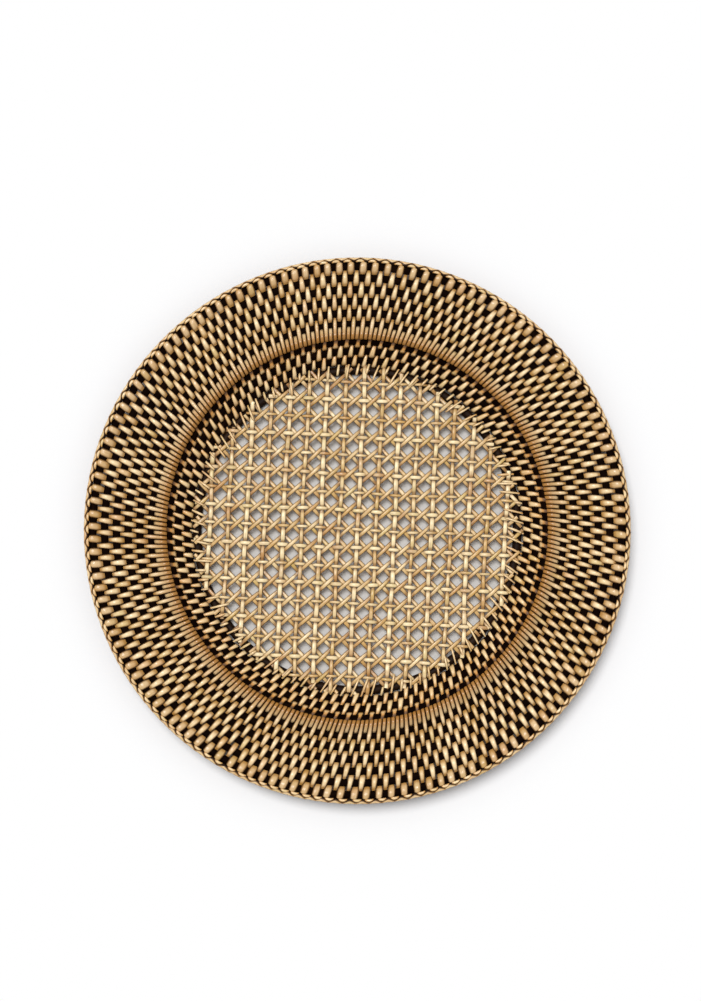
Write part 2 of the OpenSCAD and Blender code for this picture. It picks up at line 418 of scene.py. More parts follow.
def end_tree(bench, geometry, material, end):
    """Shades the geometry smooth, makes it real, gives it its finish and hands it out."""
    smooth = bench.node("GeometryNodeSetShadeSmooth", {"Geometry": geometry})
    real = bench.node("GeometryNodeRealizeInstances", {"Geometry": smooth})
    done = bench.node("GeometryNodeSetMaterial", {"Geometry": real, "Material": material})
    bench.tree.links.new(done.socket, end.inputs[0])
    print(bench.tree.name, "nodes:", len(bench.tree.nodes))
    return bench.tree


def make_piece(name, start, tree, values):
    """Runs a tree on a starting mesh and keeps the result as a plain mesh object."""
    made = bpy.data.objects.new(name, start)
    bpy.context.scene.collection.objects.link(made)
    weave = made.modifiers.new("weave", "NODES")
    weave.node_group = tree
    for item in tree.interface.items_tree:
        if item.item_type == "SOCKET" and item.in_out == "INPUT" and item.name in values:
            weave[item.identifier] = values[item.name]
    graph = bpy.context.evaluated_depsgraph_get()
    mesh = bpy.data.meshes.new_from_object(
        made.evaluated_get(graph), preserve_all_data_layers=True, depsgraph=graph
    )
    made.modifiers.remove(weave)
    made.data = mesh
    mesh.name = name
    mesh.calc_loop_triangles()
    print(name, "triangles:", len(mesh.loop_triangles))
    return made


# %% [markdown]
# A ring is a rod bent into a hoop. A circle swept with a flat oval would do, but real
# rods are never quite even, so a little noise moves the hoop in and out and up and down.

# %% Tree: an uneven hoop
hoop_points, hoop_sides = 288, 14
drift_scale, seed_spread = 28.0, 3.7


def circle(bench, resolution, radius):
    sockets = {"Resolution": resolution, "Radius": radius}
    return bench.node("GeometryNodeCurvePrimitiveCircle", sockets)


def hoop_tree():
    sizes = floats("Radius", "Height", "Width", "Depth", "Tilt", "Wander")
    inputs = {**sizes, "Seed": "Int", "Material": "Material"}
    bench, given, end = new_tree("uneven_hoop", inputs)
    spot, layer = bench.node("GeometryNodeInputPosition"), given["Seed"] * seed_spread
    field = {"Vector": spot, "W": layer, "Scale": drift_scale, "Detail": 2.0}
    drift = bench.node("ShaderNodeTexNoise", field, noise_dimensions="4D").of("Color")
    pair = {0: drift, 1: (0.5, 0.5, 0.5)}
    centred = bench.node("ShaderNodeVectorMath", pair, operation="SUBTRACT")
    pair = {0: centred, "Scale": given["Wander"]}
    step = bench.node("ShaderNodeVectorMath", pair, operation="SCALE")
    pair = {0: step, 1: bench.vector(0.0, 0.0, given["Height"])}
    lifted = bench.node("ShaderNodeVectorMath", pair, operation="ADD")
    hoop = circle(bench, hoop_points, given["Radius"])
    hoop = bench.node("GeometryNodeSetPosition", {"Geometry": hoop, "Offset": lifted})
    hoop = bench.node("GeometryNodeSetCurveNormal", {"Curve": hoop}, mode="Z_UP")
    hoop = bench.node("GeometryNodeSetCurveTilt", {"Curve": hoop, "Tilt": given["Tilt"]})
    oval = {
        "Geometry": circle(bench, hoop_sides, 0.5),
        "Scale": bench.vector(given["Width"], given["Depth"], 1.0),
    }
    oval = bench.node("GeometryNodeTransform", oval)
    rod = bench.node("GeometryNodeCurveToMesh", {"Curve": hoop, "Profile Curve": oval})
    return end_tree(bench, rod, given["Material"], end)


uneven_hoop = hoop_tree()

# %% [markdown]
# All rings but the foot are made with that tree, each in the place and size of its
# solid. Rings of the rim lie nearly flat and those of the wall follow its slope. The
# foot ring keeps its solid, because its planed underside is already right.

# %% Core rings, bead rod and edge rod
core_width, core_depth = 0.0045, 0.0025
hoop_wander = 0.0006


def dress(piece, nodes):
    """Ties a finished piece to the plate's one body and hides the solids it stands for."""
    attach(piece, "root")
    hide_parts(*nodes)


def add_hoop(node, place, width, depth, tilt, seed, material):
    values = {
        "Radius": place.radius, "Height": place.height, "Width": width, "Depth": depth,
        "Tilt": -tilt, "Wander": hoop_wander, "Seed": seed, "Material": material,
    }
    hoop = make_piece(node + "_hoop", bpy.data.meshes.new(node), uneven_hoop, values)
    dress(hoop, [node])


ring_sets = (("rim_ring", rim_seats, rim_slope, 0), ("wall_ring", wall_seats, wall_slope, 10))
for prefix, seats, tilt, first_seed in ring_sets:
    for i, place in enumerate(seats):
        node, seed = f"{prefix}_{i + 1}", first_seed + i
        add_hoop(node, place, core_width, core_depth, tilt, seed, core_finish)
for node, place, seed in (("bead_ring", bead_seat, 20), ("edge_ring", edge_seat, 21)):
    add_hoop(node, place, place.width, place.depth, 0.0, seed, rod_finish)
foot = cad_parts["base_ring"]
foot.data.materials.clear()
foot.data.materials.append(rod_finish)

# %% [markdown]
# A strip is a low half-round ribbon. It is drawn once, straight out along a radius:
# x is the distance from the plate's axis, y runs across the strip and z is height.
# A section is carried along a path, and each corner keeps its marks for the finish.

# %% The section of a strip, carried along a path
Length = namedtuple("Length", "path ups widths thick dives warms")
section = np.array([
    (-1.0, -0.16), (-0.74, 0.35), (0.0, 0.5), (0.74, 0.35), (1.0, -0.16), (0.6, -0.5), (-0.6, -0.5),
])
mark_names = ("along", "across", "dive", "warm", "below")
underside = -0.3


def unit_rows(vectors):
    return vectors / np.linalg.norm(vectors, axis=1)[:, None]


def carry(length):
    """Corners of one ribbon, row by row along its path, and the marks of each corner."""
    path, ups = np.array(length.path, float), np.array(length.ups, float)
    forward = np.gradient(path, axis=0)
    side = unit_rows(np.cross(ups, forward))
    up = unit_rows(np.cross(forward, side))
    steps = np.linalg.norm(np.diff(path, axis=0), axis=1)
    travelled = np.concatenate([[0], np.cumsum(steps)])
    corners, marks = [], []
    for i, point in enumerate(path):
        for across, lift in section:
            aside = side[i] * across * length.widths[i] / 2
            corners.append(point + aside + up[i] * lift * length.thick)
            below = float(lift < underside)
            marks.append((travelled[i], across, length.dives[i], length.warms[i], below))
    return corners, marks


print("a strip's section has", len(section), "corners")

# %% [markdown]
# The rows of corners are joined by faces into a closed ribbon. A piece can have several
# lengths of it, such as two folds, or the two ends of a strip whose middle is hidden.
# Each mark becomes an attribute of the mesh, which is how the finish finds it.


# %% The ribbon
def ribbon(name, lengths):
    """A mesh of closed ribbons, one for each length, with marks for the finish."""
    corners, marks, faces = [], [], []
    count = len(section)
    for length in lengths:
        start, last = len(corners), len(length.path) - 1
        new_corners, new_marks = carry(length)
        corners += new_corners
        marks += new_marks
        for i in range(last):
            row = start + i * count
            for j in range(count):
                here, beside = row + j, row + (j + 1) % count
                faces.append((here, here + count, beside + count, beside))
        faces.append(tuple(start + j for j in range(count)))
        faces.append(tuple(start + last * count + j for j in reversed(range(count))))
    mesh = bpy.data.meshes.new(name)
    mesh.from_pydata([tuple(c) for c in corners], [], faces)
    for key, values in zip(mark_names, np.array(marks, np.float32).T):
        layer = mesh.attributes.new(key, "FLOAT", "POINT")
        layer.data.foreach_set("value", np.ascontiguousarray(values))
    print(name, "faces:", len(faces))
    return mesh


def crown(path):
    """The direction square to a path that runs outward in the plane of a radius."""
    forward = np.gradient(np.array(path, float), axis=0)
    return np.stack([-forward[:, 2], 0 * forward[:, 0], forward[:, 0]], axis=1)


# %% [markdown]
# The weave itself: one ribbon goes round the plate many times. First come the points to
# copy it to, one for each strip. A point stores its strip's own turn, lean, width, lift,
# tone and tail. Neighbours lean alike, as strips do that are pulled tight one after
# another, so the lean changes mostly by a smooth noise and only a little by chance.

# %% Points to weave from
sway_scale, sway_layer, sway_reach = 2.6, 4.2, 4.0
own_lean = 0.1


def chance(bench, seed, index, low, high):
    """A random number for each index."""
    sockets = {"Min_001": low, "Max_001": high, "ID": index, "Seed": seed}
    return bench.node("FunctionNodeRandomValue", sockets, data_type="FLOAT")


def store(bench, geometry, values):
    """Keeps some wires on the points of a geometry, under their names."""
    how = {"data_type": "FLOAT", "domain": "POINT"}
    for name, value in values.items():
        sockets = {"Geometry": geometry, "Name": name, "Value": value}
        geometry = bench.node("GeometryNodeStoreNamedAttribute", sockets, **how)
    return geometry


def weave_points(bench, given):
    index = bench.node("GeometryNodeInputIndex")
    lean_salt, width_salt, lift_salt, tone_salt, tail_salt = range(1, 6)

    def swing(reach, salt):
        return chance(bench, given["Seed"] + salt, index, -reach, reach)

    turn = (index + given["Shift"]) / given["Count"] * math.tau
    x, y = turn.math("COSINE") * sway_scale, turn.math("SINE") * sway_scale
    sway = (bench.noise(bench.vector(x, y, sway_layer), detail=1.0) - 0.5) * sway_reach
    lean = given["Lean"] + given["Lean Swing"] * (sway + swing(own_lean, lean_salt))
    plan = {
        "turn": turn,
        "lean": lean.math("TANGENT"),
        "broad": 1.0 + given["Width Swing"] * swing(1.0, width_salt),
        "lift": given["Lift Swing"] * swing(1.0, lift_salt),
        "tone": chance(bench, given["Seed"] + tone_salt, index, 0.0, 1.0),
        "tail": given["Tail Swing"] * swing(1.0, tail_salt),
    }
    return store(bench, bench.node("GeometryNodePoints", {"Count": given["Count"]}), plan)


print("neighbouring strips share most of their lean")

# %% [markdown]
# Then every copy is bent from its straight radius into place. Because x stays the
# radius, a strip crosses each ring at the right place whatever its lean. The stored
# names that the finish has no use for are taken off at the end.


# %% Tree: woven round the plate
def kept(bench, name):
    return bench.node("GeometryNodeInputNamedAttribute", {"Name": name}, data_type="FLOAT")


def drop(bench, geometry, names):
    """Takes stored names off a geometry again."""
    for name in names:
        sockets = {"Geometry": geometry, "Name": name}
        geometry = bench.node("GeometryNodeRemoveAttribute", sockets)
    return geometry


def weave_tree():
    places = floats("Shift", "Lean", "Start Radius")
    swings = floats("Lean Swing", "Width Swing", "Lift Swing", "Tail Swing")
    inputs = {"Count": "Int", **places, **swings, "Seed": "Int", "Material": "Material"}
    bench, given, end = new_tree("woven_round", inputs)
    copies = {"Points": weave_points(bench, given), "Instance": given["Geometry"]}
    cloth = bench.node("GeometryNodeInstanceOnPoints", copies)
    cloth = bench.node("GeometryNodeRealizeInstances", {"Geometry": cloth})
    start = given["Start Radius"]
    radius, across, height = bench.split(bench.node("GeometryNodeInputPosition"))
    radius = radius + kept(bench, "tail") * (start - radius).math("MAXIMUM", 0.0)
    drift = kept(bench, "lean") * (radius - start)
    angle = kept(bench, "turn") - (drift - across * kept(bench, "broad")) / radius
    x, y = radius * angle.math("COSINE"), radius * angle.math("SINE")
    place = bench.vector(x, y, height + kept(bench, "lift"))
    cloth = bench.node("GeometryNodeSetPosition", {"Geometry": cloth, "Position": place})
    cloth = drop(bench, cloth, ("turn", "lean", "broad", "lift", "tail"))
    return end_tree(bench, cloth, given["Material"], end)


woven_round = weave_tree()

# %% [markdown]
# A rim strip passes over one ring and under the next. A cosine flattened at its crests
# gives that path. Where the strip dives it is marked for painted shade. It is broad where it
# rises and slim where it dives, so a stitch is pointed at its outer end. Near the bead and
# at the border it is marked warm, because the rattan is more honey-coloured there.

# %% Paths over and under the rings
rim_count, wall_count = 138, 103
strip_thick, strip_play = 0.00095, 0.00005
crest = core_depth / 2 + strip_thick / 2 + strip_play
slim_diving, broad_rising, slim_below = 0.24, 0.20, 0.3
bead_warmth, border_warmth = 0.25, 0.4
ring_step, squeeze = 0.25, 0.6
# Where a strip is steepest, its dive mark changes by about this much from point to point.
steepest = 0.43


def wave(phase, flat=1.4):
    """A cosine with level crests, from -1 to 1."""
    return math.tanh(flat * math.cos(phase)) / math.tanh(flat)


def ramp(value, low, high):
    """0 at low, 1 at high and an even change between."""
    return min(1.0, max(0.0, (value - low) / (high - low)))


def widths_along(path, dives, count, share):
    """Widths that fill a share of the room that a strip has at each radius."""
    falls = np.gradient(np.array(dives)) / steepest
    slims = np.where(falls > 0, slim_diving, broad_rising) * np.clip(falls, -1, 1)
    widths = []
    for (r, _, _), dive, slim in zip(path, dives, slims):
        filled = share(r) * math.pi * r / count
        widths.append(filled * (1 - slim_below * ramp(dive, 0.5, 0.95)) * (1 - slim))
    return widths


def over_and_under(sign, first, last):
    """Path and marks of a strip across the rim rings, which are numbered from 0."""
    path, dives, warms = [], [], []
    start = rim_seats[0]
    for k in [first, *np.arange(0, last, ring_step), last]:
        r = start.radius + k * rim_pitch * (squeeze if k < 0 else 1.0)
        level = sign * wave(k * math.pi)
        z = start.height + (r - start.radius) * math.tan(rim_slope) + level * crest
        path.append((r, 0, z))
        dives.append((1 - level) / 2)
        warms.append(bead_warmth * ramp(k, 1.0, -0.2) + border_warmth * ramp(k, 4.3, 4.8))
    return path, dives, warms


print("strips rise and dive by mm:", in_mm([crest]))

# %% [markdown]
# All rim strips also wrap the bead, side by side. One set comes round the bead and goes
# straight on over the first ring. The other set dives behind the bead first, so its
# wrapping and its run across the rim are two lengths with the hidden part left out.

# %% Lengths of the rim strips
bead_r, bead_z = bead_seat.radius, bead_seat.height
bead_wrap = bead_seat.width / 2 + 0.0010
behind_bead = ((0.0034, 0.0004), (0.0046, -0.0010))
bead_share, rim_gain, border_gain, last_row_gain = 0.92, 0.08, 0.05, 0.22
# A wrap has its first and last angle and its points, a run its first and last ring number.
open_wrap, open_run = (232, 62, 9), (-0.25, 5.4)
hidden_wrap, hidden_run = (285, 40, 11), (-0.35, 5.33)


def round_bead(start, stop, count):
    """Path and marks round the bead from one angle to another, in degrees."""
    path, dives, warms = [], [], []
    for angle in np.linspace(start, stop, count):
        a = math.radians(angle)
        path.append((bead_r + bead_wrap * math.cos(a), 0, bead_z + bead_wrap * math.sin(a)))
        # The inner underside of the bead is marked as diving: painted shade towards the crease.
        dives.append(ramp(angle, 150, 220))
        warms.append(0.3 + 0.6 * ramp(angle, 35, 100))
    return path, dives, warms


def rim_share(r):
    """Share of its room that a rim strip fills: least on the bead, most in the last row."""
    first, third, last = (rim_seats[i].radius for i in (0, 2, 5))
    fuller = border_gain * ramp(r, third, last)
    fuller += last_row_gain * ramp(r, last - 0.55 * rim_pitch, last - 0.1 * rim_pitch)
    return bead_share + rim_gain * ramp(r, bead_r + 0.7 * bead_wrap, first) + fuller


def rim_lengths(over_first):
    if over_first:
        bead, rest = round_bead(*open_wrap), over_and_under(1, *open_run)
        runs = [[b + r for b, r in zip(bead, rest)]]
    else:
        path, dives, warms = round_bead(*hidden_wrap)
        for outward, lift in behind_bead:
            path.append((bead_r + outward, 0, bead_z + lift))
            dives.append(0.0)
            warms.append(0.3)
        runs = [(path, dives, warms), over_and_under(-1, *hidden_run)]
    lengths = []
    for path, dives, warms in runs:
        widths = widths_along(path, dives, rim_count, rim_share)
        lengths.append(Length(path, crown(path), widths, strip_thick, dives, warms))
    lengths[-1].widths[-1] *= 0.5
    return lengths


print("lengths in a rim strip:", len(rim_lengths(True)), "and", len(rim_lengths(False)))

# %% [markdown]
# The two sets of rim strips are woven from these lengths. The second set starts half a
# step further round than the first, so its stitches lie between those of the first.

# %% Rim strips
rim_weave = {
    "Count": rim_count, "Lean": math.radians(9), "Lean Swing": math.radians(5),
    "Start Radius": bead_r, "Lift Swing": 0.00008,
}
for label, over_first, shift, seed in (("a", True, 0.0, 11), ("b", False, 0.5, 12)):
    start = ribbon(f"rim_ribbon_{label}", rim_lengths(over_first))
    own = {"Shift": shift, "Width Swing": 0.07, "Seed": seed, "Material": rim_finish}
    strips = make_piece(f"rim_weave_{label}", start, woven_round, {**rim_weave, **own})
    dress(strips, [f"rim_strips_{label}"])

# %% [markdown]
# The wall strips start at the foot ring and climb the three wall rings in the same way.
# They lean further round than the rim strips do. One set has thin tails that reach in
# over the edge of the net, each of its own length. Right under the bead both sets are
# marked as diving and painted dark, which is painted shade of the crease there.

# %% Wall strips
base_r = base_seat.radius
net_low, net_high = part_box("cane_upright")
wall_foot, wall_next = wall_seats[0], wall_seats[1]
wall_pitch = math.hypot(wall_next.radius - wall_foot.radius, wall_next.height - wall_foot.height)
tail_knots = ((-0.0042, -0.0009), (-0.0024, -0.0001), (-0.0002, 0.0001), (0.0018, -0.0012))
tail_slims = (0.5, 0.55, 0.58, 0.62, 0.8)
wall_start, tail_start, wall_stop, wall_step = -0.7, -0.2, 2.61, 0.2
crease, wall_warmth = (1.7, 2.15), 0.1


def wall_lengths(over_first):
    sign = 1 if over_first else -1
    path, dives = [], []
    if not over_first:
        for outward, lift in tail_knots:
            path.append((base_r + outward, 0, net_high.z + lift))
            dives.append(0.0)
    for k in np.arange(wall_start if over_first else tail_start, wall_stop, wall_step):
        level = sign * wave(k * math.pi)
        run, off = k * wall_pitch, level * crest
        r = wall_foot.radius + math.cos(wall_slope) * run - math.sin(wall_slope) * off
        z = wall_foot.height + math.sin(wall_slope) * run + math.cos(wall_slope) * off
        path.append((r, 0, z))
        # Under the bead the dive mark is raised: painted shade of the crease, which also slims the
        # strips there.
        dives.append(max((1 - level) / 2, ramp(k, *crease)))
    widths = widths_along(path, dives, wall_count, lambda r: 1.0)
    if not over_first:
        tail = len(tail_slims)
        widths[:tail] = np.array(widths[:tail]) * tail_slims
    return [Length(path, crown(path), widths, strip_thick, dives, [wall_warmth] * len(path))]


wall_weave = {
    "Count": wall_count, "Lean": math.radians(17), "Lean Swing": math.radians(5),
    "Start Radius": wall_foot.radius, "Width Swing": 0.14, "Lift Swing": 0.0001,
    "Tail Swing": 0.4, "Material": wall_finish,
}
for label, over_first, shift, seed in (("a", True, 0.0, 21), ("b", False, 0.5, 22)):
    start = ribbon(f"wall_ribbon_{label}", wall_lengths(over_first))
    own = {"Shift": shift, "Seed": seed}
    strips = make_piece(f"wall_weave_{label}", start, woven_round, {**wall_weave, **own})
    dress(strips, [f"wall_strips_{label}"])

# %% [markdown]
# At the border the strips that come over the last ring turn sideways in small hooks and
# lie along the edge, each tucked under the next. The strips between them fold out over
# the edge rod, where they show as small triangles, and a lower row lies round its
# outside. Seen from above, a thin dark zigzag runs between the rows. A fold is drawn
# through a few knots, which is the easiest way to shape a bend.

# %% Paths of the border folds
edge_r, edge_z = edge_seat.radius, edge_seat.height
edge_wrap = edge_seat.width / 2 + 0.0004
fold_thick, fold_points, fold_warmth = 0.0009, 11, 0.15
# Tuck marks feed the dive mark: painted shade where a fold's ends lie under the next.
tuck_places, tuck_marks = (0, 0.28, 0.72, 1), (1.0, 0.1, 0.1, 1.0)


def bend_through(knots, count):
    """A smooth path through a few knots (Catmull-Rom), evenly sampled."""
    knots = np.array(knots, float)
    padded = np.vstack([2 * knots[0] - knots[1], knots, 2 * knots[-1] - knots[-2]])
    found = []
    for t in np.linspace(0, len(knots) - 1.000001, count):
        i, f = int(t), t - int(t)
        a, b, c, d = padded[i : i + 4]
        square, cube = 2 * a - 5 * b + 4 * c - d, 3 * b - a - 3 * c + d
        found.append(0.5 * (2 * b + (c - a) * f + square * f * f + cube * f**3))
    return np.array(found)


def edge_knots(angles, middle, half_run):
    """Knots along the edge rod, each at its own angle round the rod, in degrees."""
    places = np.linspace(middle - half_run, middle + half_run, len(angles))
    knots = []
    for angle, y in zip(angles, places):
        a = math.radians(angle)
        knots.append((edge_r + edge_wrap * math.cos(a), y, edge_z + edge_wrap * math.sin(a)))
    return knots


def fold(knots, widths):
    """A lens-shaped fold through some knots, with painted shade where its ends are tucked in."""
    path = bend_through(knots, fold_points)
    share = np.linspace(0, 1, fold_points)
    ups = (path - np.array((edge_r, 0, edge_z))) * (1, 0, 1)
    spread = np.interp(share, np.linspace(0, 1, len(widths)), widths)
    tuck = np.interp(share, tuck_places, tuck_marks)
    return Length(path, ups, spread, fold_thick, tuck, [fold_warmth] * fold_points)


print("border folds every mm:", in_mm([math.tau * edge_r / rim_count]))

# %% [markdown]
# The folds go round the plate with the same tree as the strips. They share the seed and
# the lean of the second set of rim strips, so each fold stays with its strip.

# %% Border folds
hook_widths = (0.0014, 0.0020, 0.0021, 0.0018, 0.0009)
lens_widths = (0.0009, 0.0018, 0.0024, 0.0018, 0.0009)
fold_sets = {
    "border_inner": [fold(edge_knots((122, 102, 95, 101, 120), 0.0022, 0.0025), hook_widths)],
    "border_outer": [
        fold(edge_knots((14, 40, 58, 40, 14), -0.0019, 0.0041), lens_widths),
        fold(edge_knots((16, -4, -20, -38, -60), 0.0024, 0.0041), lens_widths),
    ],
}
own = {"Shift": 0.5, "Width Swing": 0.04, "Seed": 12, "Material": border_finish}
for node, lengths in fold_sets.items():
    start = ribbon(node + "_ribbon", lengths)
    folds = make_piece(node + "_folds", start, woven_round, {**rim_weave, **own})
    dress(folds, [node])

# %% [markdown]
# The cane net is a four-way chair weave: upright and level strands cross at right
# angles, and two sets of slanting strands lock them. One tree can make all four sets.
# It starts with a straight line for each strand, as long as the round net is wide at
# that place, give or take a little. Every other strand can be paler and broader.

# %% Lines of the cane
shortest_square = 0.0004


def cane_lines(bench, given):
    index = bench.node("GeometryNodeInputIndex")
    left_salt, right_salt, tone_salt = range(1, 4)

    def draw(low, high, salt):
        return chance(bench, given["Seed"] + salt, index, low, high)

    place = index - (given["Count"] - 1.0) / 2.0
    offset = place * given["Spacing"]
    square = given["Reach"] * given["Reach"] - offset * offset
    half = square.math("MAXIMUM", shortest_square).math("SQRT")
    left = half + given["End Wander"] * draw(-1.0, 1.0, left_salt)
    right = half + given["End Wander"] * draw(-1.0, 1.0, right_salt)
    pair = 1.0 - 2.0 * index.math("MODULO", 2.0)
    tone = draw(given["Tone Low"], given["Tone High"], tone_salt)
    plan = {
        "tone": tone + given["Tone Pair"] * pair,
        "place": place,
        "length": (left + right) / 2.0,
        "broad": 1.0 + given["Width Pair"] * pair,
    }
    middles = bench.vector((right - left) / 2.0, offset, 0.0)
    points = bench.node("GeometryNodePoints", {"Count": given["Count"], "Position": middles})
    ends = {"Start": (-1, 0, 0), "End": (1, 0, 0)}
    copies = {
        "Points": store(bench, points, plan),
        "Instance": bench.node("GeometryNodeCurvePrimitiveLine", ends),
        "Scale": bench.vector(kept(bench, "length"), 1.0, 1.0),
    }
    lines = bench.node("GeometryNodeInstanceOnPoints", copies)
    lines = bench.node("GeometryNodeRealizeInstances", {"Geometry": lines})
    steps = {"Curve": lines, "Length": given["Step"]}
    return bench.node("GeometryNodeResampleCurve", steps, mode="LENGTH")


print("least length in mm before the ends wander:", in_mm([2 * math.sqrt(shortest_square)]))

# %% [markdown]
# Levels go over uprights, and slants go over levels and under uprights. So each line
# rises and falls in a wave, which its wave length and phase fit to the strands that it
# crosses. It also wanders a little sideways, and it is not equally thick all along.

# %% Waves of the cane
plump_scale, plump_spread, plump_seed, plump_reach = 70.0, 7.1, 2.3, 0.5
wander_scale, wander_spread, wander_seed = 24.0, 5.3, 1.7


def wave_lines(bench, given, lines):
    x, y, _ = bench.split(bench.node("GeometryNodeInputPosition"))
    place, seed = kept(bench, "place"), given["Seed"]
    phase = x / given["Wave Length"] * math.tau + given["Phase"] + given["Phase Step"] * place
    crests = phase.math("COSINE")
    field = bench.vector(x * plump_scale, place * plump_spread, seed * plump_seed)
    plump = (bench.noise(field, detail=1.0) - 0.5) * plump_reach
    swell = (1.0 + given["Swell"] * crests + plump) * kept(bench, "broad")
    lines = store(bench, lines, {"along": x, "swell": swell, "dive": (1.0 - crests) / 2.0})
    field = bench.vector(x * wander_scale, place * wander_spread, seed * wander_seed)
    wander = (bench.noise(field, detail=1.0) - 0.5) * given["Side Wander"]
    height = given["Middle"] + given["Rise"] * crests
    moved = {"Geometry": lines, "Position": bench.vector(x, y + wander, height)}
    lines = bench.node("GeometryNodeSetPosition", moved)
    return bench.node("GeometryNodeSetCurveNormal", {"Curve": lines}, mode="Z_UP")


print("a strand's thickness changes over about mm:", in_mm([1 / plump_scale]))

# %% [markdown]
# Last, the lines are swept with a flat oval and turned into their direction. The oval
# stores where across the strand each of its corners lies, for the finish.

# %% Tree: a set of cane strands
cane_sides = 8


def cane_tree():
    layout = floats("Spacing", "Turn", "Reach", "Step", "End Wander", "Side Wander")
    waves = floats("Middle", "Rise", "Wave Length", "Phase", "Phase Step")
    build = floats("Width", "Depth", "Swell", "Width Pair")
    tones = floats("Tone Low", "Tone High", "Tone Pair")
    sizes = {"Count": "Int", **layout, **waves, **build, **tones}
    inputs = {**sizes, "Seed": "Int", "Material": "Material"}
    bench, given, end = new_tree("cane_strands", inputs)
    lines = wave_lines(bench, given, cane_lines(bench, given))
    across, _, _ = bench.split(bench.node("GeometryNodeInputPosition"))
    oval = {
        "Geometry": store(bench, circle(bench, cane_sides, 1.0), {"across": across}),
        "Scale": bench.vector(given["Width"] / 2.0, given["Depth"] / 2.0, 1.0),
    }
    sweep = {
        "Curve": lines,
        "Profile Curve": bench.node("GeometryNodeTransform", oval),
        "Scale": kept(bench, "swell"),
        "Fill Caps": True,
    }
    strands = bench.node("GeometryNodeCurveToMesh", sweep)
    turned = {"Geometry": strands, "Rotation": bench.vector(0.0, 0.0, given["Turn"])}
    strands = bench.node("GeometryNodeTransform", turned)
    strands = drop(bench, strands, ("place", "length", "broad", "swell"))
    return end_tree(bench, strands, given["Material"], end)


cane_strands = cane_tree()

# %% [markdown]
# The four sets share one grid, turned a few degrees in the plate. At a crossing of an
# upright and a level the level lies on top like a small collar. Halfway between, both
# slants cross over the level, and half a grid further up they cross under the upright.
# Every other upright is paler, and every other row of collars is stronger.

# %% The cane net
net_z = (net_low.z + net_high.z) / 2
grid, layer = 0.01126, 0.00080
net_turn = math.radians(-3)
straight = {"Count": 17, "Spacing": grid, "Wave Length": grid, "Phase Step": 0.0}
slanting = {
    "Count": 24, "Spacing": grid / math.sqrt(2), "Wave Length": grid * math.sqrt(2),
    "Phase": 0.0, "Rise": 0.5 * layer, "Depth": 0.00080, "Swell": 0.05,
    "Tone Pair": 0.0, "Width Pair": 0.0,
}
cane_sets = {
    "cane_upright": {
        **straight, "Turn": net_turn + math.radians(90), "Phase": math.pi,
        "Middle": net_z + 0.25 * layer, "Rise": 0.75 * layer,
        "Width": 0.0027, "Depth": 0.00095, "Swell": 0.08, "Width Pair": 0.07,
        "Tone Low": 0.5, "Tone Pair": 0.35,
    },
    "cane_level": {
        **straight, "Turn": net_turn, "Phase": 0.0,
        "Middle": net_z - 0.15 * layer, "Rise": 0.85 * layer,
        "Width": 0.0020, "Depth": 0.00100, "Swell": 0.24, "Width Pair": -0.14,
        "Tone Low": 0.4, "Tone Pair": -0.3,
    },
    "cane_rising": {
        **slanting, "Turn": net_turn + math.radians(45), "Phase Step": math.pi,
        "Middle": net_z + 0.5 * layer, "Width": 0.0023, "Tone Low": -0.1,
    },
    "cane_falling": {
        **slanting, "Turn": net_turn - math.radians(45), "Phase Step": -math.pi,
        "Middle": net_z - 0.5 * layer, "Width": 0.0024, "Tone Low": 0.0,
    },
}
common = {
    "Reach": base_r + 0.0012, "Step": grid / 8, "End Wander": 0.0022, "Side Wander": 0.0028,
    "Material": cane_finish,
}
tone_range, first_cane_seed, cane_seed_step = 0.5, 40, 7
for i, (node, plan) in enumerate(cane_sets.items()):
    seed = first_cane_seed + cane_seed_step * i
    own = {**plan, "Tone High": plan["Tone Low"] + tone_range, "Seed": seed}
    start = bpy.data.meshes.new(node)
    strands = make_piece(node + "_strands", start, cane_strands, {**common, **own})
    dress(strands, [node])

# %% [markdown]
# The plate lies on a pale floor. Far from the plate the camera sees the floor as pure white,
# and close to it the floor is lit, so that it keeps the plate's shadow. Under the net the floor
# is painted light grey and under the rim dark grey, which is painted shade.

# %% Floor
half_floor, floor_drop = 2.5, 0.0002
net_end, rim_end, white_start = (0.096, 0.106), (0.1625, 0.1675), (0.168, 0.205)
net_shade_grey, rim_shade_grey, open_grey = (0.70, 0.685, 0.66), (0.25, 0.24, 0.23), (0.91, 0.91, 0.92)


def floor_finish():
    material = bpy.data.materials.new("pale_floor")
    material.use_nodes = True
    bench = Bench(material.node_tree)
    material.node_tree.nodes.clear()
    x, y, _ = bench.split(bench.node("ShaderNodeTexCoord").of("Object"))
    radius = (x * x + y * y).math("SQRT")
    # Painted shade: the floor is grey under the net and darker under the rim.
    floor_and_shade_tint = blend(bench, ease(bench, radius, *net_end), net_shade_grey, rim_shade_grey)
    floor_and_shade_tint = blend(bench, ease(bench, radius, *rim_end), floor_and_shade_tint, open_grey)
    far = ease(bench, radius, *white_start)
    rays = bench.node("ShaderNodeLightPath")
    seen = rays.of("Is Camera Ray") + rays.of("Is Glossy Ray") + rays.of("Is Transmission Ray")
    matt = {"Base Color": floor_and_shade_tint, "Roughness": 0.9, "Specular IOR Level": 0.0}
    lit = bench.node("ShaderNodeBsdfPrincipled", matt)
    white = bench.node("ShaderNodeEmission", {"Color": (1, 1, 1, 1), "Strength": 1.0})
    share = far * seen.math("MINIMUM", 1.0)
    mixed = bench.node("ShaderNodeMixShader", {"Fac": share, 1: lit, 2: white})
    bench.node("ShaderNodeOutputMaterial", {"Surface": mixed})
    return material


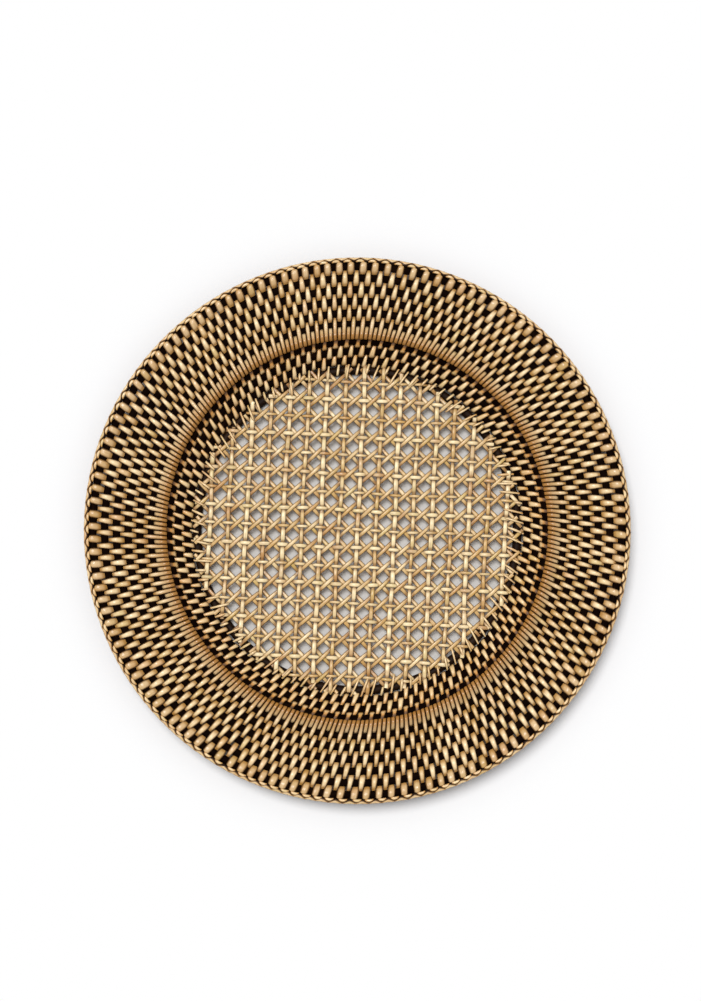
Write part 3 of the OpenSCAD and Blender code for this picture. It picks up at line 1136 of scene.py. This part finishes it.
floor_mesh = bpy.data.meshes.new("floor")
turns = ((-1, -1), (1, -1), (1, 1), (-1, 1))
floor_corners = [(x * half_floor, y * half_floor, 0) for x, y in turns]
floor_mesh.from_pydata(floor_corners, [], [(0, 1, 2, 3)])
floor = bpy.data.objects.new("floor", floor_mesh)
floor.location.z = -floor_drop
bpy.context.scene.collection.objects.link(floor)
floor_mesh.materials.append(floor_finish())
floor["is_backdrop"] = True
print("floor", 2 * half_floor, "m square")

# %% [markdown]
# One large soft lamp stands high at the upper left, as in the picture, and the white
# world fills the shadows. Together they show a level surface a little brighter than the
# colour that it is given.

# %% Light
lamp = bpy.data.lights.new("key", "SUN")
lamp.energy, lamp.angle = 2.13, math.radians(26)
key_direction = Vector((0.18, -0.28, -1.0))
key = bpy.data.objects.new("key", lamp)
key.rotation_mode = "QUATERNION"
key.rotation_quaternion = key_direction.to_track_quat("-Z", "Y")
bpy.context.scene.collection.objects.link(key)

fill_strength = 0.47
world = bpy.data.worlds.new("studio")
bpy.context.scene.world = world
world.use_nodes = True
sky = Bench(world.node_tree)
world.node_tree.nodes.clear()
sky_rays = sky.node("ShaderNodeLightPath")
sky_seen = (sky_rays.of("Is Camera Ray") + sky_rays.of("Is Transmission Ray")).math("MINIMUM", 1.0)
fill = sky.node("ShaderNodeBackground", {"Color": (1, 1, 1, 1), "Strength": fill_strength})
plain = sky.node("ShaderNodeBackground", {"Color": (1, 1, 1, 1), "Strength": 1.0})
backdrop = sky.node("ShaderNodeMixShader", {"Fac": sky_seen, 1: fill, 2: plain})
sky.node("ShaderNodeOutputWorld", {"Surface": backdrop})
print("key light", round(lamp.energy, 2), "fill", fill_strength)

# %% [markdown]
# The picture looks almost straight down. Its scale and the plate's place in it give the
# lens and the aim: the plate's middle lies a little right of the picture's middle and
# below it. The places are pixels, counted from the picture's upper left corner.

# %% Camera
picture_width, picture_height = 701, 1001
plate_x, plate_y = 357.3, 528.7
mm_per_pixel = 0.6036
tilt, distance = math.radians(3), 1.1
aim_x = (picture_width / 2 - plate_x) * mm_per_pixel / 1000
aim_y = (plate_y - picture_height / 2) * mm_per_pixel / 1000
aim = Vector((aim_x, aim_y, edge_z))
lens = bpy.data.cameras.new("photo_lens")
lens.sensor_width = 36
lens.lens = distance * 1000 * lens.sensor_width / (picture_height * mm_per_pixel)
lens.clip_end = 20
camera = bpy.data.objects.new("photo_camera", lens)
camera.location = aim + distance * Vector((0, -math.sin(tilt), math.cos(tilt)))
camera.rotation_euler = (tilt, 0, 0)
bpy.context.scene.collection.objects.link(camera)
bpy.context.scene.camera = camera
bpy.context.scene.view_settings.view_transform = "Standard"
print("lens mm:", round(lens.lens, 1))

# %% [markdown]
# Last, the dressed plate is measured again, and its box is printed in mm like the box of
# the solids at the start. It has to stay in the box of the solids.

# %% Size
visual_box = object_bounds()
print("visual box in mm:", in_mm(high - low for low, high in zip(*visual_box)))
